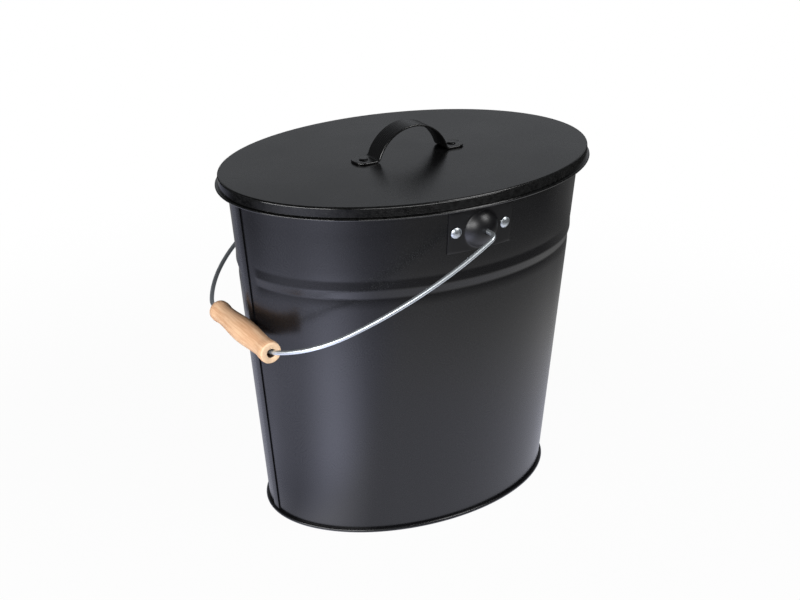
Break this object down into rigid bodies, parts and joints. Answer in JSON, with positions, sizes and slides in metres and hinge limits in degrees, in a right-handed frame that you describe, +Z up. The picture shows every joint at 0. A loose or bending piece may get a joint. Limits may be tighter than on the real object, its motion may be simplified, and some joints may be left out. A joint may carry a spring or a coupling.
{
  "type": "ash bucket",
  "caption": "Tapered oval ash bucket of black sheet steel with a flat lift-off lid, an arched lid handle, riveted domed ears and a swinging wire bail with a turned wooden grip.",
  "frame": {"origin": "middle of the bucket's foot, on the floor", "axes": "+X along the oval's long axis, away from the side seam and from the hanging bail; +Y across the oval, towards the rear ear; +Z up"},
  "size_m": [0.3793, 0.2944, 0.37],
  "materials": {
    "black_coat": "satin black powder coat",
    "lid_coat": "fine-textured matt black powder coat",
    "handle_coat": "semi-gloss black coat",
    "bright_zinc": "bright zinc plate",
    "rim_steel": "bare drawn wire",
    "beech": "turned, unvarnished"
  },
  "bodies": {
    "bucket": {"bucket_wall": "black_coat", "rim_wire": "rim_steel", "bucket_base": "black_coat", "front_ear": "black_coat", "rear_ear": "black_coat", "front_ear_rivet_left": "bright_zinc", "front_ear_rivet_right": "bright_zinc", "rear_ear_rivet_left": "bright_zinc", "rear_ear_rivet_right": "bright_zinc"},
    "bail": {"bail_wire": "bright_zinc"},
    "grip": {"wooden_grip": "beech"},
    "lid": {"lid_cover": "lid_coat", "lid_handle": "handle_coat", "lid_rivet_left": "handle_coat", "lid_rivet_right": "handle_coat"}
  },
  "joints": [
    {"name": "bail_swing", "type": "hinge", "parent": "bucket", "child": "bail", "pos_m": [0, 0, 0.305], "axis": [0, 1, 0], "range_deg": [0, 238.5]},
    {"name": "grip_spin", "type": "hinge", "parent": "bail", "child": "grip", "pos_m": [-0.17982, 0, 0.20456], "axis": [0, 1, 0], "continuous": true},
    {"name": "lid_lift", "type": "slide", "parent": "bucket", "child": "lid", "axis": [0, 0, 1], "range_m": [0, 0.1]}
  ]
}
